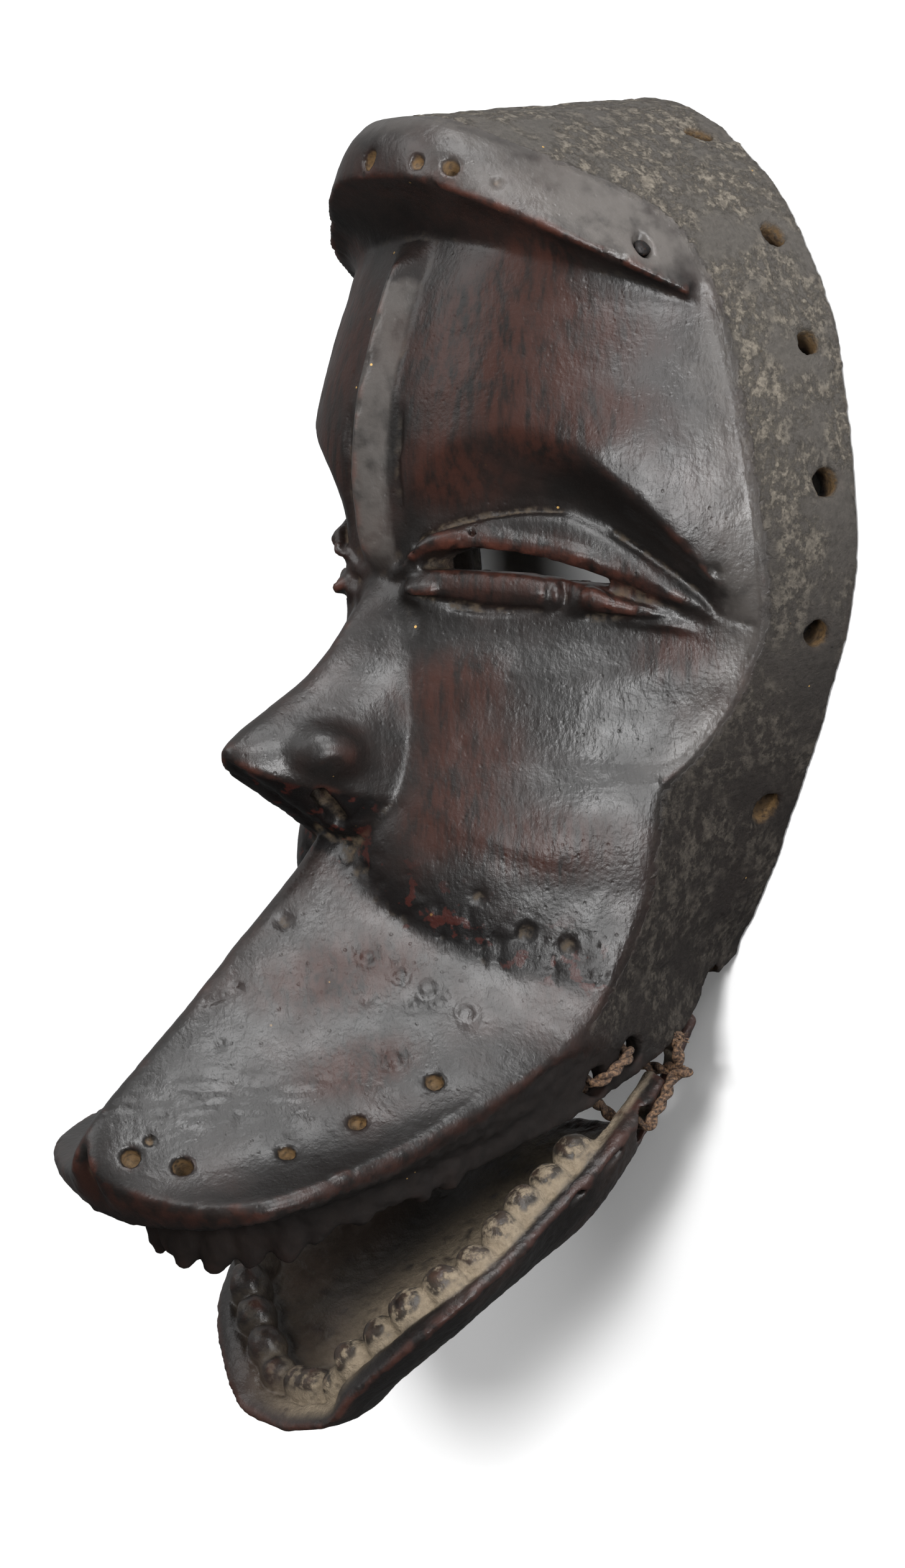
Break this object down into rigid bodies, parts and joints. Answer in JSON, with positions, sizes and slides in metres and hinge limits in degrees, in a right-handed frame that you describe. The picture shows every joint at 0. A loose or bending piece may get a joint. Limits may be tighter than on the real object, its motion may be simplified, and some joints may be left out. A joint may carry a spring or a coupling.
{
  "type": "face mask",
  "caption": "Hollow carved hardwood face mask with slit eyes, a long beak and a lower jaw lashed on with cord, lying on its back rim.",
  "frame": {"origin": "centre of the bounding box in the plane of the back rim, which the mask lies on", "axes": "+Z out of the face, +Y to the crown, +X to the wearer's left"},
  "size_m": [0.1474, 0.314, 0.172],
  "materials": {
    "hardwood": "dark satin, worn red-brown on raised edges",
    "jaw_wood": "dark satin, dusty in the trough",
    "fibre": "twisted plant fibre",
    "iron": "blackened, hand-forged"
  },
  "bodies": {
    "face": {"mask": "hardwood", "lashing_left": "fibre", "lashing_right": "fibre", "nail": "iron"},
    "lower_jaw": {"jaw": "jaw_wood"}
  },
  "joints": [
    {"name": "jaw_hinge", "type": "hinge", "parent": "face", "child": "lower_jaw", "pos_m": [0, -0.08098, 0.0305], "axis": [-1, 0, 0], "range_deg": [0, 12]}
  ]
}
